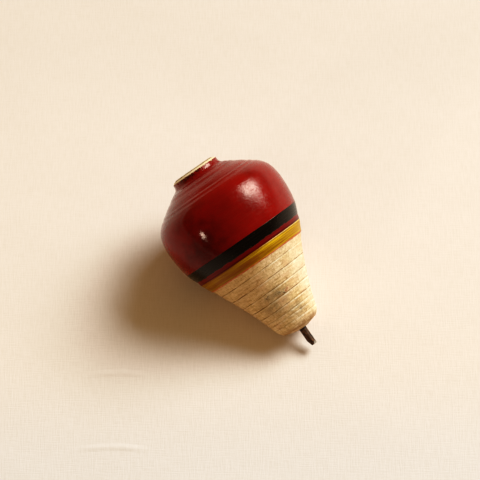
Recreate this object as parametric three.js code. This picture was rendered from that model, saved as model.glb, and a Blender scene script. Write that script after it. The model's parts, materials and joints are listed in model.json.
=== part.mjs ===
// Wooden throwing top: a turned hardwood body, five coats of coloured lac and a driven iron nail.
//
// Millimetres, +Z up. The top lies on its side, as it does once its spin has run out, and touches
// the floor on two edges: the upper edge of the yellow band and the rim of its lower end.
// The crown points to -X and up, the nail to +X and down.
//
// Every piece is first turned upright. There a height is measured along the spin axis, from the
// nail's blunt point at 0 up to the crown, and a radius is measured from that axis.

import * as THREE from 'three';

const at = (radius, height) => new THREE.Vector2(radius, height);

const FLATS = 48; // around the spin axis, on every piece, so that one flat lies on the floor
const COAT = 0.5; // thickness of a lac coat
const GAP = 0.3; // clearance between neighbouring pieces

// Outline of the lac coats, from the crown down.
const CROWN_EDGE = at(8.4, 86.9);
const NECK_TOP = at(10.45, 85.8);
const NECK_HOLLOW = at(11.5, 83.15);
const NECK_FOOT = at(13.2, 82.1);
const SHOULDER_SWELL = at(21.5, 77);
const SHOULDER = at(24.5, 74.3);
const BELLY = at(28, 63.5);
const BELLY_PULL_UP = 71.1; // heights where the belly's upright side starts to lean in
const BELLY_PULL_DOWN = 57.5;
const BLACK_TOP = at(26.8, 52.5);
const BLACK_SWELL = at(25.9, 49.9);
const BLACK_FOOT = at(24.75, 47.5);
const RESTING_EDGE = at(24.33, 45.6); // upper edge of the yellow band
const YELLOW_FOOT = at(22.3, 41.5);
const EDGE_LINE_FOOT = at(21.95, 40.8);

// Bare wooden cone below the coats. Its side flares outwards as it rises.
const CONE_FOOT = 12.2;
const CONE_FOOT_RADIUS = 9.76;
const CONE_SLOPE = 0.305;
const CONE_FLARE = 0.0039; // per millimetre
const GROOVE_HEIGHTS = [20.5, 24.4, 28.6, 33.2, 37.7];
const GROOVE_WIDTH = 0.7;
const GROOVE_DEPTH = 0.3;

// Rounded lower end of the wood, around the nail.
const END_SWELL = at(8.7, 10.3);
const END_RIM = at(7.5, 9.55);
const END_HEIGHT = 8.2;

const NAIL_RADIUS = 1.5;
const NAIL_CHAMFER = 0.6;
const NAIL_BURIED_TO = 40; // height that the nail's inner point reaches
const NAIL_TAPER = 5;
const NAIL_SOCKET_RADIUS = NAIL_RADIUS + GAP;

const finish = (color, roughness, metalness) =>
  new THREE.MeshStandardMaterial({ color, roughness, metalness });

const WOOD = finish(0xe2c592, 0.65, 0);
const RED_LAC = finish(0x8e0d0a, 0.22, 0);
const BLACK_LAC = finish(0x0d0b0a, 0.25, 0);
const YELLOW_LAC = finish(0xc98f12, 0.3, 0);
const IRON = finish(0x3a2a20, 0.7, 0.7);

// Solid of revolution about +Z. The outline runs upwards on the outside of the solid.
function turned(name, outline, material) {
  const halfFlat = Math.PI / FLATS;
  const geometry = new THREE.LatheGeometry(outline, FLATS, halfFlat, 2 * Math.PI);
  geometry.rotateX(Math.PI / 2);
  const mesh = new THREE.Mesh(geometry, material);
  mesh.name = name;
  return mesh;
}

function bend(from, control, to, steps) {
  return new THREE.QuadraticBezierCurve(from, control, to).getPoints(steps);
}

// A rising line moved by a distance, at right angles to itself, towards the spin axis.
function inset(line, distance) {
  return line.map((point, index) => {
    const before = line[Math.max(index - 1, 0)];
    const after = line[Math.min(index + 1, line.length - 1)];
    const along = after.clone().sub(before).normalize();
    return at(point.x - along.y * distance, point.y + along.x * distance);
  });
}

// Outer lines of the coats, each running upwards.
const edgeLine = [EDGE_LINE_FOOT, YELLOW_FOOT];
const yellowLine = [YELLOW_FOOT, RESTING_EDGE];
const stripeLine = [RESTING_EDGE, BLACK_FOOT];
const blackLine = bend(BLACK_FOOT, BLACK_SWELL, BLACK_TOP, 4);

function redLine() {
  const lowerBelly = bend(BLACK_TOP, at(BELLY.x, BELLY_PULL_DOWN), BELLY, 5);
  const upperBelly = bend(BELLY, at(BELLY.x, BELLY_PULL_UP), SHOULDER, 6);
  const shoulder = bend(SHOULDER, SHOULDER_SWELL, NECK_FOOT, 4);
  const neck = bend(NECK_FOOT, NECK_HOLLOW, NECK_TOP, 4);
  return [...lowerBelly, ...upperBelly.slice(1), ...shoulder.slice(1), ...neck.slice(1)];
}

// A coat is a ring that starts one gap above the piece below it.
function coat(name, line, material) {
  const [foot, next] = line;
  const clearance = next.clone().sub(foot).setLength(GAP);
  const outer = [foot.clone().add(clearance), ...line.slice(1)];
  const inner = inset(outer, COAT).reverse();
  return turned(name, [...outer, ...inner, outer[0]], material);
}

function onCone(height) {
  const rise = height - CONE_FOOT;
  return at(CONE_FOOT_RADIUS + CONE_SLOPE * rise + CONE_FLARE * rise * rise, height);
}

// The cone's side with its scribed V grooves, which a winding cord grips.
function coneLine() {
  const line = [];
  for (const height of GROOVE_HEIGHTS) {
    const bottom = onCone(height);
    bottom.x -= GROOVE_DEPTH;
    line.push(onCone(height - GROOVE_WIDTH / 2), bottom, onCone(height + GROOVE_WIDTH / 2));
  }
  line.push(onCone(EDGE_LINE_FOOT.y));
  return line;
}

// Blind hole along the axis that the nail is driven into, from its inner end down.
function socketLine() {
  const bottom = NAIL_BURIED_TO + GAP;
  return [
    at(0, bottom),
    at(NAIL_SOCKET_RADIUS, bottom - NAIL_TAPER),
    at(NAIL_SOCKET_RADIUS, END_HEIGHT),
  ];
}

// The wood stands back under the coats and comes out again to a bare bevel around the crown.
function woodBody() {
  const lowerEnd = bend(END_RIM, END_SWELL, onCone(CONE_FOOT), 4);
  const bands = [edgeLine, yellowLine, stripeLine, blackLine, redLine()];
  const coated = [EDGE_LINE_FOOT, ...bands.flatMap((line) => line.slice(1))];
  const underCoats = inset(coated, COAT + GAP);
  underCoats[0].y = EDGE_LINE_FOOT.y;
  const bevelFoot = NECK_TOP.clone().lerp(CROWN_EDGE, GAP / (CROWN_EDGE.y - NECK_TOP.y));
  const neckCore = at(underCoats.at(-1).x, bevelFoot.y);
  const crown = [neckCore, bevelFoot, CROWN_EDGE, at(0, CROWN_EDGE.y)];
  const outline = [...socketLine(), ...lowerEnd, ...coneLine(), ...underCoats, ...crown];
  return turned('wood_body', outline, WOOD);
}

// Blunt outer end at height 0, and a tapered point deep in the wood.
function ironNail() {
  const outline = [
    at(0, 0),
    at(NAIL_RADIUS - NAIL_CHAMFER, 0),
    at(NAIL_RADIUS, NAIL_CHAMFER),
    at(NAIL_RADIUS, NAIL_BURIED_TO - NAIL_TAPER),
    at(0, NAIL_BURIED_TO),
  ];
  return turned('iron_nail', outline, IRON);
}

const uprightTop = new THREE.Group();
uprightTop.add(
  woodBody(),
  coat('red_lac_coat', redLine(), RED_LAC),
  coat('black_lac_band', blackLine, BLACK_LAC),
  coat('red_lac_stripe', stripeLine, RED_LAC),
  coat('yellow_lac_band', yellowLine, YELLOW_LAC),
  coat('red_lac_edge_line', edgeLine, RED_LAC),
  ironNail(),
);

// Lean the spin axis until the flats under the two resting edges lie on the floor together.
const flatFactor = Math.cos(Math.PI / FLATS);
const reach = (RESTING_EDGE.x - CONE_FOOT_RADIUS) * flatFactor;
const axisLean = Math.atan2(reach, RESTING_EDGE.y - CONE_FOOT);
uprightTop.rotation.y = axisLean - Math.PI / 2;

// The origin is on the floor, under the middle of the lying top.
const top = new THREE.Group();
top.add(uprightTop);
const bounds = new THREE.Box3().setFromObject(top, true);
const middle = bounds.getCenter(new THREE.Vector3());
uprightTop.position.set(-middle.x, -middle.y, -bounds.min.z);

export default top;
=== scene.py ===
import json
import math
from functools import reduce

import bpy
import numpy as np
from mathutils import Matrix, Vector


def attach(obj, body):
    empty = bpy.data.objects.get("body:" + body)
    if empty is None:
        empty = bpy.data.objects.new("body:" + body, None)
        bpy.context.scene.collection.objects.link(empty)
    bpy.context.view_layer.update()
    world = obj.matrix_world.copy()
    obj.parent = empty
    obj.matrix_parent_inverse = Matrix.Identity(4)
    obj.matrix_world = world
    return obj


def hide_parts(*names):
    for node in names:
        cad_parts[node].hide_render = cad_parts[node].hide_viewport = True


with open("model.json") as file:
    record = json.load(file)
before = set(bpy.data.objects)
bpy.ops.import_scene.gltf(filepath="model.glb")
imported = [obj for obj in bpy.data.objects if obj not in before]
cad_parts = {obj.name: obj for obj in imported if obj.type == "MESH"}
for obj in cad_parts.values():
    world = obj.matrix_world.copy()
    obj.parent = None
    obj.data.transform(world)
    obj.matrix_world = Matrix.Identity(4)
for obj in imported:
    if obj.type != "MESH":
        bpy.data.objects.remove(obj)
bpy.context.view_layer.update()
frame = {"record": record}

# Looks of a wooden throwing top that lies at rest: a lacquered belly and bands over a bare,
# grooved cone, with an iron nail for a point.
#
# Outlines are in millimetres. A height runs along the spin axis, from the nail's blunt point up
# to the crown, and a radius is measured from that axis. Angles around the axis start on the side
# that faces up and turn towards +Y. These upright coordinates are also what the materials use.

MM = 0.001
TURNS = 480  # steps around the spin axis

# --- the spin axis, from the mount on the crown's flat face ---------------------------------

CROWN_HEIGHT = 86.9
crown_mount = next(m for m in frame["record"]["mounts"] if m["name"] == "crown_face")
AXIS = Vector(crown_mount["axis"]).normalized()
NAIL_POINT = Vector(crown_mount["pos_m"]) - AXIS * CROWN_HEIGHT * MM
ACROSS = Vector((0, 1, 0))
UPRIGHT = Matrix((ACROSS.cross(AXIS), ACROSS, AXIS)).transposed()

# --- outlines -------------------------------------------------------------------------------

CONE_FOOT = 12.2
EDGE_LINE_FOOT = 40.8
YELLOW_FOOT = 41.5
YELLOW_TOP = 45.6
BLACK_FOOT = 47.5
BLACK_TOP = 52.5
NECK_TOP = 85.8

LAC = 0.22  # thickness of a lac coat
UNDER_LAC = 0.32  # how far the wood stands back under the coats


def bend(start, pull, end, steps=24):
    """Points along a curve that leaves start towards pull and reaches end from it."""
    t = np.linspace(0, 1, steps)[:, None]
    return (1 - t) ** 2 * np.array(start) + 2 * t * (1 - t) * np.array(pull) + t**2 * np.array(end)


def cone_radius(height):
    """The bare cone's radius, which grows a little faster higher up."""
    rise = height - CONE_FOOT
    return 9.76 + 0.305 * rise + 0.0039 * rise**2


# (radius, height) of the lac's face, from the top of the bare cone up to the crown's bevel
SKIN = np.vstack([
    [(cone_radius(h), h) for h in np.linspace(36, 40, 9)],
    [(21.95, EDGE_LINE_FOOT), (22.3, YELLOW_FOOT), (24.33, YELLOW_TOP)],
    bend((24.75, BLACK_FOOT), (25.9, 49.9), (26.8, BLACK_TOP)),
    bend((26.8, BLACK_TOP), (28, 57.5), (28, 63.5))[1:],
    bend((28, 63.5), (28, 71.1), (24.5, 74.3))[1:],
    bend((24.5, 74.3), (21.5, 77), (13.2, 82.1))[1:],
    bend((13.2, 82.1), (11.0, 82.95), (10.62, 84.1))[1:],
    [(10.5, 84.9), (10.45, NECK_TOP), (9.75, 86.18)],
])
WALKED = np.concatenate([[0], np.cumsum(np.hypot(*np.diff(SKIN, axis=0).T))])


def skin(walk):
    """(radius, height) of the lac's face, by the distance walked up the outline."""
    return np.array([np.interp(walk, WALKED, SKIN[:, 0]), np.interp(walk, WALKED, SKIN[:, 1])])


def outward(walk):
    """The (radius, height) direction that points out of the lac's face."""
    along = skin(walk + 0.3) - skin(walk - 0.3)
    return np.array([along[1], -along[0]]) / np.hypot(*along)


def walk_to(height):
    return np.interp(height, SKIN[:, 1], WALKED)


def angles(turns):
    return np.arange(turns) * 2 * math.pi / turns


def wander(seed, slowest, fastest, size, turns=TURNS):
    """A closed wavy line around the axis, within size of 0, from waves of so many per turn."""
    draw = np.random.default_rng(seed)
    waves = np.arange(slowest, fastest + 1)[:, None]
    strength = draw.normal(size=waves.shape) / np.sqrt(waves)
    phase = draw.uniform(0, 2 * math.pi, waves.shape)
    line = (strength * np.sin(waves * angles(turns) + phase)).sum(axis=0)
    return size * line / np.abs(line).max()


# --- meshes ---------------------------------------------------------------------------------


def turned_piece(name, x, y, heights, material, ring=False, marks=None):
    """A piece from rows of points around the axis, listed so that its outside is on the right
    of the way up. A ring's last row joins its first; otherwise both ends close on the axis.
    Marks are numbers from 0 to 1 for the material, one for each point."""
    rows, turns = x.shape
    points = np.stack([x, y, heights], axis=-1).reshape(-1, 3)
    grid = np.arange(rows * turns).reshape(rows, turns)
    around = np.vstack([grid, grid[:1]]) if ring else grid
    ahead = np.roll(around, -1, axis=1)
    faces = np.stack([around[:-1], ahead[:-1], ahead[1:], around[1:]], axis=-1)
    faces = faces.reshape(-1, 4).tolist()
    if not ring:
        foot, head = len(points), len(points) + 1
        points = np.vstack([points, points[:turns].mean(axis=0), points[-turns:].mean(axis=0)])
        faces += [(foot, b, a) for a, b in zip(around[0].tolist(), ahead[0].tolist())]
        faces += [(head, a, b) for a, b in zip(around[-1].tolist(), ahead[-1].tolist())]
    mesh = bpy.data.meshes.new(name)
    mesh.from_pydata((points * MM @ np.array(UPRIGHT).T + NAIL_POINT).tolist(), [], faces)
    mesh.shade_smooth()
    mesh.materials.append(material)
    for mark, values in (marks or {}).items():
        layer = mesh.attributes.new(mark, "FLOAT", "POINT")
        padded = np.zeros(len(points), np.float32)
        padded[: values.size] = values.ravel()
        layer.data.foreach_set("value", padded)
    piece = bpy.data.objects.new(name, mesh)
    bpy.context.collection.objects.link(piece)
    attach(piece, "root")
    return piece


def round_piece(name, radii, heights, material, ring=False, marks=None):
    """A turned piece given by its radii."""
    turn = angles(TURNS)
    x, y = radii * np.cos(turn), radii * np.sin(turn)
    return turned_piece(name, x, y, heights, material, ring, marks)


EDGE_ROLL = 0.3  # how far from its edge a coat has its full thickness
ROW_GAP = 0.42  # about how far apart a coat's rows are
SUNK = 0.05  # how far a coat's back lies below its edges


def coat(name, low, high, material, proud=0.0, relief=None):
    """A shell of lac between two wavy edges, which are distances walked up the outline. Its face
    stands proud of the outline, and rolls down to the wood at both edges."""
    near = EDGE_ROLL * np.linspace(0, 1, 6) ** 1.7  # rows gather towards an edge
    count = int(np.mean(high - low) / ROW_GAP) + 2
    share = np.linspace(0, 1, count)[1:-1, None]
    middle = low + EDGE_ROLL + share * (high - low - 2 * EDGE_ROLL)
    walk = np.vstack([low + near[:, None], middle, high - near[::-1, None]])
    from_edge = np.clip(np.minimum(walk - low, high - walk) / EDGE_ROLL, 0, 1)
    lift = (LAC + proud) * np.sqrt(1 - (1 - from_edge) ** 2) - LAC
    if relief is not None:
        lift = lift + relief(walk) * from_edge
    face = skin(walk) + lift * outward(walk)
    back_walk = walk[::-4]  # the hidden back has fewer rows
    back = skin(back_walk) - (LAC + SUNK) * outward(back_walk)
    radii, heights = np.concatenate([face, back], axis=1)
    return round_piece(name, radii, heights, material, ring=True)


# --- material nodes -------------------------------------------------------------------------


class Shader:
    """A material under construction. Its positions are in millimetres, and are the upright ones
    unless it is given another origin and turn."""

    def __init__(self, name, origin=NAIL_POINT, turn_by=UPRIGHT.to_euler()):
        self.material = bpy.data.materials.new(name)
        self.material.use_nodes = True
        self.tree = self.material.node_tree
        self.tree.nodes.clear()
        self.surface = self.tree.nodes.new("ShaderNodeBsdfPrincipled")
        output = self.tree.nodes.new("ShaderNodeOutputMaterial")
        self.tree.links.new(self.surface.outputs["BSDF"], output.inputs["Surface"])
        place = self.tree.nodes.new("ShaderNodeTexCoord")
        turn = self.tree.nodes.new("ShaderNodeMapping")
        turn.vector_type = "TEXTURE"
        turn.inputs["Location"].default_value = origin
        turn.inputs["Rotation"].default_value = turn_by
        turn.inputs["Scale"].default_value = (MM, MM, MM)
        self.tree.links.new(place.outputs["Object"], turn.inputs["Vector"])
        self.position = turn.outputs["Vector"]
        split = self.tree.nodes.new("ShaderNodeSeparateXYZ")
        self.tree.links.new(self.position, split.inputs["Vector"])
        self.x, self.y, self.height = split.outputs

    def put(self, socket, value):
        """Links a node's output to a socket, or sets a plain value on it."""
        if isinstance(value, bpy.types.NodeSocket):
            self.tree.links.new(value, socket)
        elif isinstance(value, tuple) and socket.type == "RGBA":
            socket.default_value = (*value, 1)
        else:
            socket.default_value = value

    def math(self, operation, *values):
        node = self.tree.nodes.new("ShaderNodeMath")
        node.operation = operation
        for socket, value in zip(node.inputs, values):
            self.put(socket, value)
        return node.outputs["Value"]

    def times(self, *values):
        return reduce(lambda first, second: self.math("MULTIPLY", first, second), values)

    def most(self, *values):
        return reduce(lambda first, second: self.math("MAXIMUM", first, second), values)

    def from_position(self, operation, vector):
        """The outputs of a vector operation between the position and a plain vector."""
        node = self.tree.nodes.new("ShaderNodeVectorMath")
        node.operation = operation
        self.put(node.inputs[0], self.position)
        node.inputs[1].default_value = vector
        return node.outputs

    def fade(self, value, start, end, low=0.0, high=1.0):
        """Runs smoothly from low to high as value goes from start to end."""
        node = self.tree.nodes.new("ShaderNodeMapRange")
        node.interpolation_type = "SMOOTHSTEP"
        ends = {"From Min": start, "From Max": end, "To Min": low, "To Max": high}
        self.put(node.inputs["Value"], value)
        for name, number in ends.items():
            self.put(node.inputs[name], number)
        return node.outputs["Result"]

    def between(self, start, end, edge):
        """1 between two heights and 0 outside them."""
        above = self.fade(self.height, start - edge, start + edge)
        return self.times(above, self.fade(self.height, end + edge, end - edge))

    def noise(self, across, along=None, detail=3.0, roughness=0.5, seed=0.0, cross=None):
        """Cloudy noise from 0 to 1, with so many features per millimetre: across the axis and
        along it, and in y by the number in cross where there is one."""
        along = across if along is None else along
        cross = across if cross is None else cross
        scaled = self.from_position("MULTIPLY", (across, cross, along))
        node = self.tree.nodes.new("ShaderNodeTexNoise")
        node.noise_dimensions = "4D"
        self.put(node.inputs["Vector"], scaled["Vector"])
        settings = {"W": seed, "Scale": 1.0, "Detail": detail, "Roughness": roughness}
        for name, number in settings.items():
            node.inputs[name].default_value = number
        return node.outputs["Fac"]

    def growth_rings(self, middle, scale, distortion, waver):
        """Bands from 0 to 1 around a line that is parallel to the axis."""
        node = self.tree.nodes.new("ShaderNodeTexWave")
        node.wave_type = "RINGS"
        node.rings_direction = "Z"
        self.put(node.inputs["Vector"], self.from_position("SUBTRACT", middle)["Vector"])
        settings = {"Scale": scale, "Distortion": distortion, "Detail Scale": waver}
        for name, number in settings.items():
            node.inputs[name].default_value = number
        return node.outputs["Fac"]

    def spot(self, angle, height, radius, size, edge):
        """1 near a point on the surface, and 0 away from it."""
        turn = math.radians(angle)
        point = (radius * math.cos(turn), radius * math.sin(turn), height)
        distance = self.from_position("DISTANCE", point)["Value"]
        return self.fade(distance, size + edge, max(size - edge, 0))

    def mark(self, name):
        """A number from 0 to 1 that the mesh holds for each point."""
        node = self.tree.nodes.new("ShaderNodeAttribute")
        node.attribute_name = name
        return node.outputs["Fac"]

    def mix(self, amount, first, second, blend="MIX"):
        node = self.tree.nodes.new("ShaderNodeMix")
        node.data_type = "RGBA"
        node.blend_type = blend
        self.put(node.inputs["Factor"], amount)
        # a Mix node repeats its socket names for each data type, and these are the colour ones
        self.put(node.inputs[6], first)
        self.put(node.inputs[7], second)
        return node.outputs[2]

    def bump(self, *layers):
        """Chains bumps, each given as (height, depth in millimetres)."""
        normal = None
        for height, depth in layers:
            node = self.tree.nodes.new("ShaderNodeBump")
            node.inputs["Strength"].default_value = 1.0
            node.inputs["Distance"].default_value = depth * MM
            self.put(node.inputs["Height"], height)
            if normal is not None:
                self.put(node.inputs["Normal"], normal)
            normal = node.outputs["Normal"]
        self.put(self.surface.inputs["Normal"], normal)

    def finish(self, color, roughness, **plain):
        """The finished material. A plain name has an underscore for each space."""
        self.put(self.surface.inputs["Base Color"], color)
        self.put(self.surface.inputs["Roughness"], roughness)
        for name, value in plain.items():
            self.surface.inputs[name.replace("_", " ")].default_value = value
        return self.material


# --- materials ------------------------------------------------------------------------------

LAC_TINT = (1.0, 0.79, 0.64, 1.0)  # lac's reflections are a little warm


def red_lac():
    look = Shader("red_lac")
    cloud = look.noise(0.07, detail=4.0, seed=1.0)
    color = look.mix(look.fade(cloud, 0.3, 0.7), (0.175, 0.0022, 0.002), (0.265, 0.004, 0.003))
    # streaks around the top, clearest above the shoulder
    streaks = look.noise(0.05, 1.5, detail=4.0, roughness=0.6, seed=2.0)
    streaky = look.times(look.fade(streaks, 0.42, 0.7), look.fade(look.height, 72.0, 79.0, 0.25, 0.8))
    color = look.mix(streaky, color, (0.25, 0.014, 0.008))
    fine = look.noise(0.12, 5.0, detail=3.0, roughness=0.65, seed=3.0)
    color = look.mix(look.fade(fine, 0.45, 0.8, 0.0, 0.4), color, (0.12, 0.001, 0.001))
    # painted shade: a wide dark patch on the belly's shaded -Y side, broken up by blotches
    blotches = look.fade(look.noise(0.11, detail=4.0, roughness=0.6, seed=3.5), 0.3, 0.62, 0.25, 1.0)
    patch = look.times(look.spot(-48, 59.5, 27.5, 12, 13), blotches)
    color = look.mix(patch, color, (0.07, 0.0008, 0.001))
    # handling has left dark smudges under the crown
    smudges = look.most(look.spot(-46, 84.9, 10.6, 3.0, 1.6), look.spot(-18, 85.4, 10.4, 2.4, 1.6))
    mottle = look.fade(look.noise(1.1, detail=5.0, roughness=0.7, seed=4.0), 0.38, 0.58)
    smudges = look.times(smudges, look.fade(look.height, 83.4, 85.2), mottle)
    color = look.mix(smudges, color, (0.03, 0.0015, 0.0015))
    # the surface is rough and pitted, less so towards -Y
    grain = look.noise(0.9, detail=5.0, roughness=0.6, seed=5.0)
    smoother = look.fade(look.y, 2.0, -12.0, 1.0, 0.55)
    rough = look.times(look.fade(grain, 0.38, 0.62, 0.15, 0.27), smoother)
    turned = look.noise(0.03, 0.42, detail=2.0, seed=2.5)
    wavy = look.times(turned, look.fade(look.height, 70.0, 80.0, 0.1, 1.0))
    pitted = look.fade(look.y, 2.0, -12.0, 1.0, 0.45)
    pits = look.times(look.noise(1.35, detail=4.0, roughness=0.6, seed=5.5), pitted)
    fine_pits = look.times(look.noise(2.4, detail=2.0, seed=5.7), pitted)
    look.bump((wavy, 0.25), (streaks, 0.015), (pits, 0.034), (fine_pits, 0.028))
    # specks break up the gloss
    side_gloss = look.fade(look.y, 0.0, -18.0, 0.44, 0.27)
    gloss = look.most(side_gloss, look.fade(look.height, 68.0, 75.0, 0.27, 0.5))
    specks = look.noise(2.2, detail=3.0, roughness=0.6, seed=5.9)
    gloss = look.times(gloss, look.fade(specks, 0.5, 0.63, 1.18, 0.4))
    look.put(look.surface.inputs["Specular IOR Level"], gloss)
    # the plain level is for an exported model, which drops the link
    return look.finish(color, rough, Specular_IOR_Level=0.4, Specular_Tint=LAC_TINT)


def stripe_lac():
    look = Shader("stripe_lac")
    lines = look.noise(0.08, 3.0, detail=4.0, roughness=0.65, seed=7.0)
    color = look.mix(look.fade(lines, 0.35, 0.7), (0.11, 0.0015, 0.002), (0.2, 0.004, 0.004))
    # painted shade along the stripe's foot, where it meets the yellow
    foot_shade = look.between(45.95, 46.25, 0.12)
    color = look.mix(look.times(foot_shade, 0.75), color, (0.035, 0.001, 0.001))
    look.bump((lines, 0.02), (look.noise(1.2, detail=4.0, seed=8.0), 0.01))
    rough = look.fade(lines, 0.3, 0.7, 0.3, 0.4)
    return look.finish(color, rough, Specular_IOR_Level=0.3, Specular_Tint=LAC_TINT)


def edge_lac():
    look = Shader("edge_lac")
    blotches = look.noise(0.9, 1.4, detail=4.0, roughness=0.65, seed=9.0)
    color = look.mix(look.fade(blotches, 0.4, 0.7), (0.44, 0.065, 0.008), (0.58, 0.20, 0.04))
    look.bump((blotches, 0.015))
    return look.finish(color, 0.45)


def black_lac():
    look = Shader("black_lac")
    lines = look.noise(0.06, 2.2, detail=4.0, roughness=0.6, seed=10.0)
    color = look.mix(look.fade(lines, 0.35, 0.75), (0.0016, 0.0013, 0.0011), (0.005, 0.0036, 0.0026))
    specks = look.fade(look.noise(1.5, detail=2.0, seed=11.0), 0.68, 0.73)
    color = look.mix(look.times(specks, 0.5), color, (0.12, 0.09, 0.06))
    look.bump((lines, 0.02), (look.noise(1.1, detail=5.0, roughness=0.6, seed=12.0), 0.016))
    rough = look.fade(lines, 0.3, 0.7, 0.2, 0.3)
    return look.finish(color, rough, Specular_IOR_Level=0.3, Specular_Tint=LAC_TINT)


def yellow_lac():
    look = Shader("yellow_lac")
    lines = look.noise(0.06, 3.4, detail=5.0, roughness=0.65, seed=13.0)
    color = look.mix(look.fade(lines, 0.38, 0.62), (0.24, 0.075, 0.001), (0.64, 0.39, 0.008))
    # painted shade: the band is painted darker towards -Y
    color = look.mix(look.fade(look.y, 2.0, -16.0, 0.0, 0.6), color, (0.20, 0.062, 0.001))
    # and darker along its lower edge; this mark is painted fainter towards +Y, as painted light
    low = look.times(look.between(42.1, 43.5, 0.5), look.fade(lines, 0.65, 0.4, 0.3, 0.95))
    low = look.times(low, look.fade(look.y, 16.0, 6.0, 0.1, 1.0))
    color = look.mix(low, color, (0.22, 0.062, 0.001))
    fibres = look.noise(2.2, 0.25, detail=3.0, roughness=0.6, seed=14.0)
    color = look.mix(look.fade(fibres, 0.5, 0.8, 0.0, 0.35), color, (0.24, 0.09, 0.002))
    # painted highlight: a pale line along its upper edge, towards +Y
    edge_highlight = look.times(look.fade(look.height, 45.34, 45.5), look.fade(look.y, -6.0, 4.0, 0.0, 0.7))
    color = look.mix(edge_highlight, color, (0.92, 0.74, 0.26))
    look.bump((lines, 0.03), (fibres, 0.012))
    rough = look.fade(lines, 0.3, 0.7, 0.3, 0.42)
    return look.finish(color, rough, Specular_IOR_Level=0.22, Specular_Tint=LAC_TINT)


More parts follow.
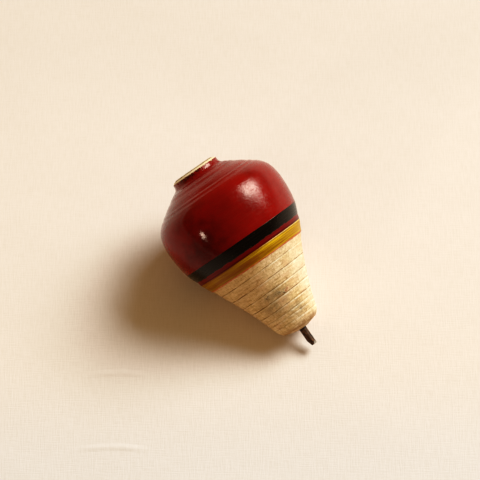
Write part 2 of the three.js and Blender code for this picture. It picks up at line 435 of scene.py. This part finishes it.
def bare_wood():
    look = Shader("wood")
    patches = look.noise(0.13, 0.2, detail=4.0, seed=15.0)
    color = look.mix(look.fade(patches, 0.35, 0.65), (0.80, 0.57, 0.29), (0.87, 0.66, 0.41))
    fibres = look.noise(1.5, 0.13, detail=5.0, roughness=0.62, seed=16.0)
    color = look.mix(look.fade(fibres, 0.4, 0.68, 0.0, 0.6), color, (0.52, 0.33, 0.12))
    dashes = look.noise(4.5, 0.7, detail=2.0, roughness=0.5, seed=17.0)
    color = look.mix(look.fade(dashes, 0.5, 0.7, 0.0, 0.55), color, (0.42, 0.25, 0.08))
    lines = look.noise(0.2, 2.4, detail=5.0, roughness=0.68, seed=18.0)
    color = look.mix(look.fade(lines, 0.5, 0.68, 0.0, 0.75), color, (0.54, 0.34, 0.12))
    color = look.mix(look.fade(lines, 0.46, 0.3, 0.0, 0.8), color, (0.95, 0.82, 0.55))
    # painted light: the side towards +Y is painted paler
    pale = look.times(look.fade(look.y, 2.0, 11.0), look.fade(patches, 0.75, 0.35, 0.6, 0.9))
    pale = look.times(pale, look.fade(look.height, 39.0, 31.0, 0.35, 1.0))
    color = look.mix(pale, color, (0.84, 0.69, 0.485))
    pink = look.fade(look.noise(0.16, 0.28, detail=3.0, seed=19.0), 0.5, 0.7, 0.0, 0.5)
    color = look.mix(pink, color, (0.68, 0.38, 0.20))
    # painted shade: the side towards -Y is painted browner
    painted_shade = look.times(look.fade(look.y, 2.0, -16.0), look.fade(patches, 0.2, 0.6, 0.4, 0.75))
    color = look.mix(painted_shade, color, (0.55, 0.31, 0.125))
    specks = look.noise(1.3, 0.9, detail=4.0, roughness=0.75, seed=17.5)
    scratches = look.noise(0.25, 1.3, detail=4.0, roughness=0.75, seed=17.8)
    # the dark specks are painted fainter towards +Y, as painted light on that side
    speck_strength = look.fade(look.y, 0.0, 9.0, 0.78, 0.42)
    for texture in (specks, scratches):
        darker = look.times(look.fade(texture, 0.5, 0.64), speck_strength)
        color = look.mix(darker, color, (0.66, 0.54, 0.40), "MULTIPLY")
        paler = look.fade(texture, 0.47, 0.34, 0.0, 0.8)
        color = look.mix(paler, color, (1.14, 1.2, 1.3), "MULTIPLY")
    # dirt from hands and the ground, darkest in a cloud of smudges on the lower cone
    blots = look.noise(0.33, 0.55, detail=5.0, roughness=0.62, seed=20.0)
    cloud = look.most(
        look.spot(-20, 25.5, 14.0, 4.0, 4.0), look.spot(-42, 22.5, 13.0, 4.0, 4.0),
        look.spot(0, 16.5, 11.0, 2.6, 2.6),
    )
    dirt = look.times(cloud, look.fade(blots, 0.36, 0.6, 0.05, 0.6))
    color = look.mix(dirt, color, (0.23, 0.15, 0.07))
    dark = look.most(
        look.spot(-17, 26.6, 14.4, 1.3, 1.2), look.spot(-36, 27.4, 14.5, 0.9, 1.4),
        look.spot(-8, 25.4, 14.1, 0.8, 1.2), look.spot(50, 26, 14.3, 0.5, 0.4),
        look.spot(52, 19, 11.9, 0.5, 0.4), look.spot(5, 15.5, 10.8, 0.45, 0.4),
    )
    fleck_noise = look.noise(1.3, 2.4, detail=3.0, roughness=0.75, seed=20.6)
    color = look.mix(look.times(dark, look.fade(fleck_noise, 0.48, 0.55)), color, (0.07, 0.05, 0.035))
    red_mark = look.most(look.spot(-4, 25.4, 14.1, 0.4, 0.3), look.spot(0, 25.8, 14.2, 0.4, 0.3))
    color = look.mix(look.times(red_mark, 0.95), color, (0.40, 0.03, 0.02))
    # painted highlight on the burrs beside the grooves, fading towards -Y, and the grooves are painted
    # dark with dirt and painted shade
    patchiness = look.noise(0.16, 0.3, detail=3.0, roughness=0.6, seed=28.0)
    ridge_highlight = look.times(look.fade(look.y, -12.0, 0.0, 0.15, 1.0), look.fade(patchiness, 0.35, 0.6, 0.3, 1.0))
    color = look.mix(look.times(look.mark("ridge"), ridge_highlight), color, (0.99, 0.90, 0.68))
    groove = look.times(look.mark("groove"), look.fade(patchiness, 0.6, 0.42, 0.2, 1.0))
    color = look.mix(groove, color, (0.20, 0.10, 0.03))
    stain = look.fade(look.noise(0.5, detail=4.0, seed=21.0), 0.36, 0.56, 0.25, 0.9)
    color = look.mix(look.times(look.mark("stain"), stain), color, (0.33, 0.15, 0.045))
    # painted shade in the nail's hole and round its rim
    color = look.mix(look.times(look.mark("hole"), 0.92), color, (0.03, 0.018, 0.01))
    # the crown has a pale bevel, and its face is end grain
    bevel = look.times(look.fade(look.height, 85.6, 85.8), look.fade(look.height, 86.5, 86.3))
    color = look.mix(look.times(bevel, 0.7), color, (0.95, 0.79, 0.52))
    face = look.fade(look.height, 86.7, 86.8)
    grain = look.growth_rings((-4.2, -2.6, 0), scale=0.22, distortion=2.4, waver=0.35)
    color = look.mix(look.times(face, look.fade(grain, 0.4, 0.95, 0.0, 0.5)), color, (0.42, 0.22, 0.08))
    # the face is darker in clouds, and so is its edge all round
    clouds = look.noise(0.35, detail=5.0, roughness=0.65, seed=26.0)
    face_darkening = look.times(look.fade(clouds, 0.3, 0.7, 0.15, 0.85), 0.75)
    edge_noise = look.fade(look.noise(0.8, detail=3.0, seed=25.0), 0.3, 0.7, -0.12, 0.12)
    edge_darkening = look.fade(look.math("ADD", look.height, edge_noise), 86.28, 86.6, 0.0, 0.82)
    crown_darkening = look.math("MINIMUM", edge_darkening, look.mix(face, (1, 1, 1), face_darkening))
    color = look.mix(crown_darkening, color, (0.24, 0.18, 0.095))
    pores = look.noise(2.2, detail=5.0, seed=22.0)
    look.bump((fibres, 0.08), (lines, 0.14), (dashes, 0.03), (scratches, 0.10), (pores, 0.05))
    return look.finish(color, look.fade(fibres, 0.3, 0.7, 0.5, 0.65), Specular_IOR_Level=0.2)


def iron():
    look = Shader("iron")
    rust = look.noise(1.3, 0.8, detail=6.0, roughness=0.65, seed=23.0)
    color = look.mix(look.fade(rust, 0.38, 0.66), (0.012, 0.006, 0.004), (0.17, 0.075, 0.03))
    # the nail is painted with shade where it enters the wood, and is bright where it was cut
    color = look.mix(look.fade(look.height, 7.3, 8.1, 0.0, 0.9), color, (0.008, 0.004, 0.003))
    bright = look.times(look.mark("cut"), look.fade(rust, 0.75, 0.45, 0.35, 1.0))
    color = look.mix(bright, color, (0.36, 0.31, 0.25))
    look.bump((rust, 0.12), (look.noise(6.0, 3.0, detail=3.0, seed=24.0), 0.02))
    look.put(look.surface.inputs["Metallic"], look.fade(bright, 0.0, 1.0, 0.15, 0.5))
    return look.finish(color, look.fade(rust, 0.3, 0.7, 0.38, 0.6), Specular_IOR_Level=0.3)


# --- the wooden body ------------------------------------------------------------------------

# height, depth and half width of each groove turned into the cone
GROOVES = [
    (37.7, 0.20, 0.25), (33.2, 0.22, 0.26), (28.6, 0.20, 0.25), (24.4, 0.24, 0.28),
    (20.5, 0.22, 0.27), (17.55, 0.11, 0.22), (15.7, 0.10, 0.22), (13.3, 0.08, 0.22),
]
# rows at a groove, in half widths from its middle
GROOVE_ROWS = [-1.5, -1.15, -0.85, -0.6, -0.38, -0.17, 0, 0.17, 0.38, 0.6, 0.85, 1.15, 1.5]
PLAIN_ROW_GAP = 0.62
CLEAR_GAP = 0.3  # between a plain row and a groove's row
BURR_HEIGHT = 0.07
TILT_TOWARDS = math.radians(73)
TILT = 0.021  # the grooves were cut a little out of true with the bands

# how much painted shade the first rows of the foot get, which are the hole that the nail sits in and
# its rim
HOLE_SHADE = np.array([1, 1, 1, 1, 1, 1, 0.95, 0.75, 0.3])
# how stained the rows around the hole are, from this row up
STAIN_START = 5
STAIN_MARKS = np.interp(np.arange(17), [0, 6, 9, 15, 17], [1, 0.5, 1.0, 0.7, 0.0])


def cone_rows():
    """A column of the heights of the bare cone's rows, close together at each groove."""
    rows = np.concatenate([height + np.array(GROOVE_ROWS) * half for height, _, half in GROOVES])
    plain = np.arange(CONE_FOOT, EDGE_LINE_FOOT + 0.3, PLAIN_ROW_GAP)
    clear = np.abs(plain[:, None] - rows).min(axis=1) > CLEAR_GAP
    return np.sort(np.concatenate([rows, plain[clear]]))[:, None]


def bare_cone():
    """Radii and heights of the cone's rows, and how much each point is groove and ridge."""
    turn = angles(TURNS)
    cone = cone_rows()
    relief, grooved, ridged = np.zeros((3, len(cone), TURNS))
    for number, (height, depth, half) in enumerate(GROOVES):
        from_middle = (cone - height) / half
        uneven = 1 + wander(40 + number, 1, 40, 0.3)
        if number == 0:
            # this one runs out where the tool was lifted, opposite where it is deepest
            deepest = math.radians(-118)
            uneven = uneven * np.clip((np.cos(turn - deepest) + 1) * 4 - 0.15, 0.1, 1)
        kept = np.clip(uneven, 0, 1)
        relief = relief - depth * uneven * np.clip(1 - np.abs(from_middle), 0, 1) ** 0.9
        burr = np.exp(-(((from_middle + 1.25) / 0.35) ** 2))
        burr = burr * (0.9 + wander(60 + number, 3, 60, 0.9))
        relief = relief + BURR_HEIGHT * burr * kept
        # the burr's mark carries a painted highlight
        ridged = np.maximum(ridged, np.clip(burr, 0, 1))
        # and the groove's mark carries dirt and painted shade
        darkness = np.clip(1.15 - np.abs(from_middle), 0, 1) * kept * min(1, depth * 4.2)
        grooved = np.maximum(grooved, darkness)
    waves = 0.035 * np.sin(cone * 1.9 + wander(70, 1, 5, 1.5)) + wander(71, 1, 6, 0.05)
    radii = cone_radius(cone) + relief + waves
    # the tilt fades out towards both ends of the cone
    settle = np.clip((cone - CONE_FOOT) / 4, 0, 1)
    settle = settle * np.clip((EDGE_LINE_FOOT - 0.5 - cone) / 2.5, 0, 1)
    heights = cone + settle * TILT * cone_radius(cone) * np.cos(turn - TILT_TOWARDS)
    return radii, heights, grooved, ridged


def row(radius, height, wave=0.0, rise=0.0):
    """Radii and heights of one row of points."""
    return np.full(TURNS, radius) + wave, np.full(TURNS, height) + rise


def foot_rows():
    """The nail's hole from its bottom up to its chipped rim, then the domed end around it."""
    chips = np.clip(wander(80, 4, 34, 0.55), -0.12, 0.55)
    rim = wander(81, 2, 26, 0.16)
    rows = [
        row(0.45, 39.2), row(1.6, 35), row(1.6, 22), row(1.62, 10.2), row(1.74, 9.2),
        row(1.92, 8.75, 0.5 * chips, 0.2 * chips), row(2.08, 8.4, chips, -0.1 * chips),
        row(2.4, 8.24, chips), row(2.9, 8.28, 0.6 * chips), row(3.7, 8.5), row(4.6, 8.76),
        row(5.5, 9.0), row(6.3, 9.21, 0, 0.2 * rim), row(7.0, 9.4, 0, 0.4 * rim),
    ]
    for radius, height in bend((7.5, 9.55), (8.7, 10.3), (9.7, CONE_FOOT - 0.12), 10):
        rows.append(row(radius, height, 0.8 * rim, 0.5 * rim))
    return rows


def covered_rows():
    """The wood under the coats of lac."""
    heights = np.concatenate([
        np.arange(41.25, 50, 1.4), np.arange(51, 72, 3.0), np.arange(73, 85.5, 1.4), [85.55],
    ])
    core = skin(walk_to(heights)) - UNDER_LAC * outward(walk_to(heights))
    return [row(radius, height) for radius, height in core.T]


def crown_rows():
    """The bevel of the crown, its nicked edge and its face."""
    nicks = np.clip(wander(90, 5, 60, 0.32) - 0.12, 0, 1)
    return [
        row(10.33, 85.6), row(10.38, 85.76), row(9.95, 86.08), row(9.4, 86.38),
        row(8.95, 86.62, -0.2 * nicks), row(8.65, 86.77, -0.5 * nicks),
        row(8.45, 86.85, -0.8 * nicks, -0.1 * nicks), row(8.2, 86.89, -0.5 * nicks),
        row(7.8, CROWN_HEIGHT), row(6.4, 86.88), row(6.1, 86.84), row(5.8, 86.88),
        row(4.2, 86.87), row(2.4, 86.84), row(1.2, 86.8), row(0.7, 86.6),
    ]


def wooden_body(material):
    cone_radii, cone_heights, grooved, ridged = bare_cone()
    foot = foot_rows()
    rows = foot + list(zip(cone_radii, cone_heights)) + covered_rows() + crown_rows()
    radii, heights = np.swapaxes(rows, 0, 1)
    marks = {name: np.zeros(radii.shape) for name in ("groove", "ridge", "stain", "hole")}
    cone = slice(len(foot), len(foot) + len(cone_radii))
    marks["groove"][cone] = grooved
    marks["ridge"][cone] = ridged
    marks["stain"][STAIN_START : STAIN_START + len(STAIN_MARKS)] = STAIN_MARKS[:, None]
    marks["hole"][: len(HOLE_SHADE)] = HOLE_SHADE[:, None]
    piece = round_piece("wood", radii, heights, material, marks=marks)
    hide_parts("wood_body")


wooden_body(bare_wood())

# --- the lac --------------------------------------------------------------------------------


def shoulder_rings(walk):
    """Ridges that the turning tool left, faint on the belly and clear above the shoulder."""
    climb = np.clip((walk - walk_to(70)) / 8, 0, 1)
    strength = 0.004 + 0.056 * climb * (1 + wander(113, 1, 5, 0.4))
    uneven = 1 + wander(112, 1, 9, 0.8)
    coarse = np.sin(walk * 1.7 + 1.5 * np.sin(walk * 0.7))
    return strength * (coarse + 0.15 * uneven * np.sin(walk * 3.9))


def wavy_edge(height, seed, size):
    return walk_to(height) + wander(seed, 1, 40, size)


# the red has flaked off here and there along the neck's upper edge
flaked = np.clip(wander(101, 16, 140, 2.4) - 0.25, 0, 1.2)
red_foot = wavy_edge(BLACK_TOP - 0.45, 102, 0.02)
red_top = wavy_edge(NECK_TOP + 0.08, 100, 0.12) - flaked
red_coat = coat("red_coat", red_foot, red_top, red_lac(), relief=shoulder_rings)
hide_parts("red_lac_coat")

ragged = np.clip(wander(104, 10, 90, 0.3), -0.25, 0.2)
black_foot = wavy_edge(BLACK_FOOT + 0.1, 103, 0.22) + ragged
black_top = wavy_edge(BLACK_TOP + 0.1, 105, 0.06)
black_band = coat("black_band", black_foot, black_top, black_lac(), proud=0.05)
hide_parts("black_lac_band")

stripe_foot = wavy_edge(YELLOW_TOP, 106, 0.03)
stripe_top = wavy_edge(BLACK_FOOT + 1.1, 107, 0.02)
red_stripe = coat("red_stripe", stripe_foot, stripe_top, stripe_lac())
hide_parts("red_lac_stripe")

yellow_foot = wavy_edge(YELLOW_FOOT - 0.22, 108, 0.06)
yellow_top = wavy_edge(YELLOW_TOP, 109, 0.03)
yellow_band = coat("yellow_band", yellow_foot, yellow_top, yellow_lac())
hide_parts("yellow_lac_band")

line_foot = wavy_edge(EDGE_LINE_FOOT + 0.06, 110, 0.1)
line_top = wavy_edge(YELLOW_FOOT + 0.06, 111, 0.05)
edge_line = coat("edge_line", line_foot, line_top, edge_lac(), proud=0.04)
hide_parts("red_lac_edge_line")

# --- the nail -------------------------------------------------------------------------------

NAIL_TURNS = 96
# heights, and the radius at each of them
NAIL_PROFILE = ([0, 0.03, 0.1, 0.22, 35, 39.2], [1.36, 1.44, 1.5, 1.56, 1.54, 0.35])
# which way each bevel faces, its distance from the axis at the point, and how fast that grows
LONG_BEVEL = (-107, 0.72, 0.34)
BRIGHT_BEVEL = (38, 0.95, 0.42)


def iron_nail(material):
    """A round nail with its head nipped off. The nippers left a long bevel on one side, a short
    bright one on the other, and a flat between them."""
    turn = angles(NAIL_TURNS)
    height = np.concatenate([
        [0.0, 0.0, 0.0, 0.03, 0.1, 0.22], np.arange(0.4, 9.6, 0.2), [12, 20, 30, 35, 37.5, 39.2],
    ])[:, None]
    radius = np.interp(height, *NAIL_PROFILE)
    radius[:3, 0] = 0.35, 0.8, 1.15  # the flat point
    pits = wander(120, 2, 16, 0.022, NAIL_TURNS) * np.sin(height * 2.6)
    pits = pits + wander(121, 2, 16, 0.022, NAIL_TURNS) * np.cos(height * 3.7)
    radius = radius * (1 + pits * np.clip(height / 0.4, 0, 1) * np.clip((12 - height) / 2, 0, 1))
    x, y = radius * np.cos(turn), radius * np.sin(turn)
    for towards, reach, slope in (LONG_BEVEL, BRIGHT_BEVEL):
        side = (math.cos(math.radians(towards)), math.sin(math.radians(towards)))
        over = np.clip(x * side[0] + y * side[1] - (reach + slope * height), 0, None)
        x, y = x - over * side[0], y - over * side[1]
    # over is now what the bright bevel took off
    marks = {"cut": np.clip(over * 6, 0, 1)}
    piece = turned_piece("nail", x, y, np.broadcast_to(height, x.shape), material, marks=marks)
    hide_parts("iron_nail")


iron_nail(iron())

# --- the cloth that it lies on ---------------------------------------------------------------

CAMERA_AZIMUTH = 51.70
CLOTH_REACH = 12  # metres from the middle to each edge
CREASE_BOW = 0.006
CREASE_HALF_WIDTH = 2.0


def crease(look, across, up, half_length):
    """A faint bowed crease in the cloth, with its middle at a place in millimetres."""
    from_middle = look.math("ABSOLUTE", look.math("SUBTRACT", look.x, across))
    bow = look.times(look.math("POWER", from_middle, 2.0), CREASE_BOW)
    away = look.math("ABSOLUTE", look.math("ADD", look.math("SUBTRACT", look.y, up), bow))
    reach = look.fade(from_middle, half_length, half_length * 0.3)
    return look.times(look.fade(away, CREASE_HALF_WIDTH, 0.0), reach)


def cloth():
    """Pale woven cloth, laid so that in the photograph its x runs right and its y runs away."""
    look = Shader("cloth", Vector(), (0, 0, math.radians(CAMERA_AZIMUTH)))
    warp = look.noise(1.9, 1.0, cross=0.16, detail=2.0, roughness=0.6, seed=30.0)
    weft = look.noise(0.16, 1.0, cross=1.9, detail=2.0, roughness=0.6, seed=31.0)
    color = look.mix(look.fade(warp, 0.35, 0.65), (0.785, 0.67, 0.58), (0.825, 0.71, 0.625))
    color = look.mix(look.fade(weft, 0.35, 0.65, 0.0, 0.45), color, (0.84, 0.725, 0.64))
    # painted shade: it is a little darker at its far end; it is bluer and more clearly woven at its
    # near end
    color = look.mix(look.fade(look.y, 50.0, 120.0, 0.0, 0.07), color, (0.1, 0.07, 0.04))
    color = look.mix(look.fade(look.y, -30.0, -95.0), color, (0.94, 0.985, 1.045), "MULTIPLY")
    clear = look.fade(look.y, 60.0, -60.0, 0.35, 1.1)
    soft = look.noise(0.012, 1.0, cross=0.02, detail=2.0, seed=32.0)
    creases = look.math("ADD", crease(look, -54.0, -43.6, 14.0), crease(look, -56.0, -76.4, 18.0))
    threads = [(look.times(thread, clear), 0.09) for thread in (warp, weft)]
    look.bump((creases, 0.24), *threads, (soft, 1.2))
    return look.finish(color, 0.95, Specular_IOR_Level=0.1)


def cloth_floor(material):
    far = CLOTH_REACH
    corners = [(-far, -far, 0), (far, -far, 0), (far, far, 0), (-far, far, 0)]
    mesh = bpy.data.meshes.new("cloth")
    mesh.from_pydata(corners, [], [(0, 1, 2, 3)])
    mesh.materials.append(material)
    floor = bpy.data.objects.new("cloth", mesh)
    bpy.context.collection.objects.link(floor)


cloth_floor(cloth())

# --- light and camera ------------------------------------------------------------------------

AIM = Vector((-0.0085, 0.00095, 0.020))  # the camera and the lamps point here
DAYLIGHT = (0.88, 0.965, 0.99)
LAMPLIGHT = (1.0, 0.94, 0.88)
LOW_SKY = (0.86, 0.77, 0.66, 1)
HIGH_SKY = (0.305, 0.207, 0.095, 1)
# a photograph's tone curve, which deepens the darks
TONE_CURVE = [(0.02, 0.007), (0.06, 0.032), (0.12, 0.084), (0.25, 0.215), (0.5, 0.5), (0.7, 0.73)]

CAMERA_ELEVATION = 62.43
CAMERA_DISTANCE = 1.2
FOCAL_LENGTH = 219.6


def softbox(name, towards, distance, size, power, color):
    """A square lamp that faces the top from some way off."""
    light = bpy.data.lights.new(name, "AREA")
    light.shape = "SQUARE"
    light.size = size
    light.energy = power
    light.color = color
    lamp = bpy.data.objects.new(name, light)
    back = Vector(towards).normalized()
    lamp.location = AIM + back * distance
    lamp.rotation_euler = back.to_track_quat("Z", "Y").to_euler()
    bpy.context.collection.objects.link(lamp)


def dim_sky():
    """A dim warm world, pale only near the horizon and below it."""
    world = bpy.data.worlds.new("studio")
    world.use_nodes = True
    sky = world.node_tree
    place = sky.nodes.new("ShaderNodeTexCoord")
    split = sky.nodes.new("ShaderNodeSeparateXYZ")
    climb = sky.nodes.new("ShaderNodeMapRange")
    climb.inputs["From Min"].default_value = 0.06
    climb.inputs["From Max"].default_value = 0.12
    shades = sky.nodes.new("ShaderNodeMix")
    shades.data_type = "RGBA"
    shades.inputs[6].default_value = LOW_SKY
    shades.inputs[7].default_value = HIGH_SKY
    sky.links.new(place.outputs["Generated"], split.inputs["Vector"])
    sky.links.new(split.outputs["Z"], climb.inputs["Value"])
    sky.links.new(climb.outputs["Result"], shades.inputs["Factor"])
    sky.links.new(shades.outputs[2], sky.nodes["Background"].inputs["Color"])
    return world


def photograph_camera():
    lens = bpy.data.cameras.new("camera")
    lens.sensor_width = 36
    lens.lens = FOCAL_LENGTH
    lens.clip_start = 0.05
    lens.clip_end = 50
    camera = bpy.data.objects.new("camera", lens)
    azimuth, elevation = math.radians(CAMERA_AZIMUTH), math.radians(CAMERA_ELEVATION)
    level = math.cos(elevation)
    away = (math.sin(azimuth) * level, -math.cos(azimuth) * level, math.sin(elevation))
    camera.location = AIM + Vector(away) * CAMERA_DISTANCE
    camera.rotation_euler = Vector(away).to_track_quat("Z", "Y").to_euler()
    bpy.context.collection.objects.link(camera)
    return camera


# the first two stand side by side and act as one large lamp
softbox("key", (-0.045, 0.708, 0.722), distance=3.0, size=1.42, power=76.0, color=DAYLIGHT)
softbox("spill", (0.100, 0.735, 0.680), distance=3.0, size=1.45, power=50.0, color=DAYLIGHT)
softbox("glint", (0.183, -0.918, 0.356), distance=2.0, size=0.14, power=2.9, color=LAMPLIGHT)

scene = bpy.context.scene
scene.world = dim_sky()
scene.view_settings.view_transform = "Standard"
scene.view_settings.use_curve_mapping = True
tone = scene.view_settings.curve_mapping
for shade, printed in TONE_CURVE:
    tone.curves[3].points.new(shade, printed)  # the fourth curve is for all three colours
tone.update()
scene.camera = photograph_camera()
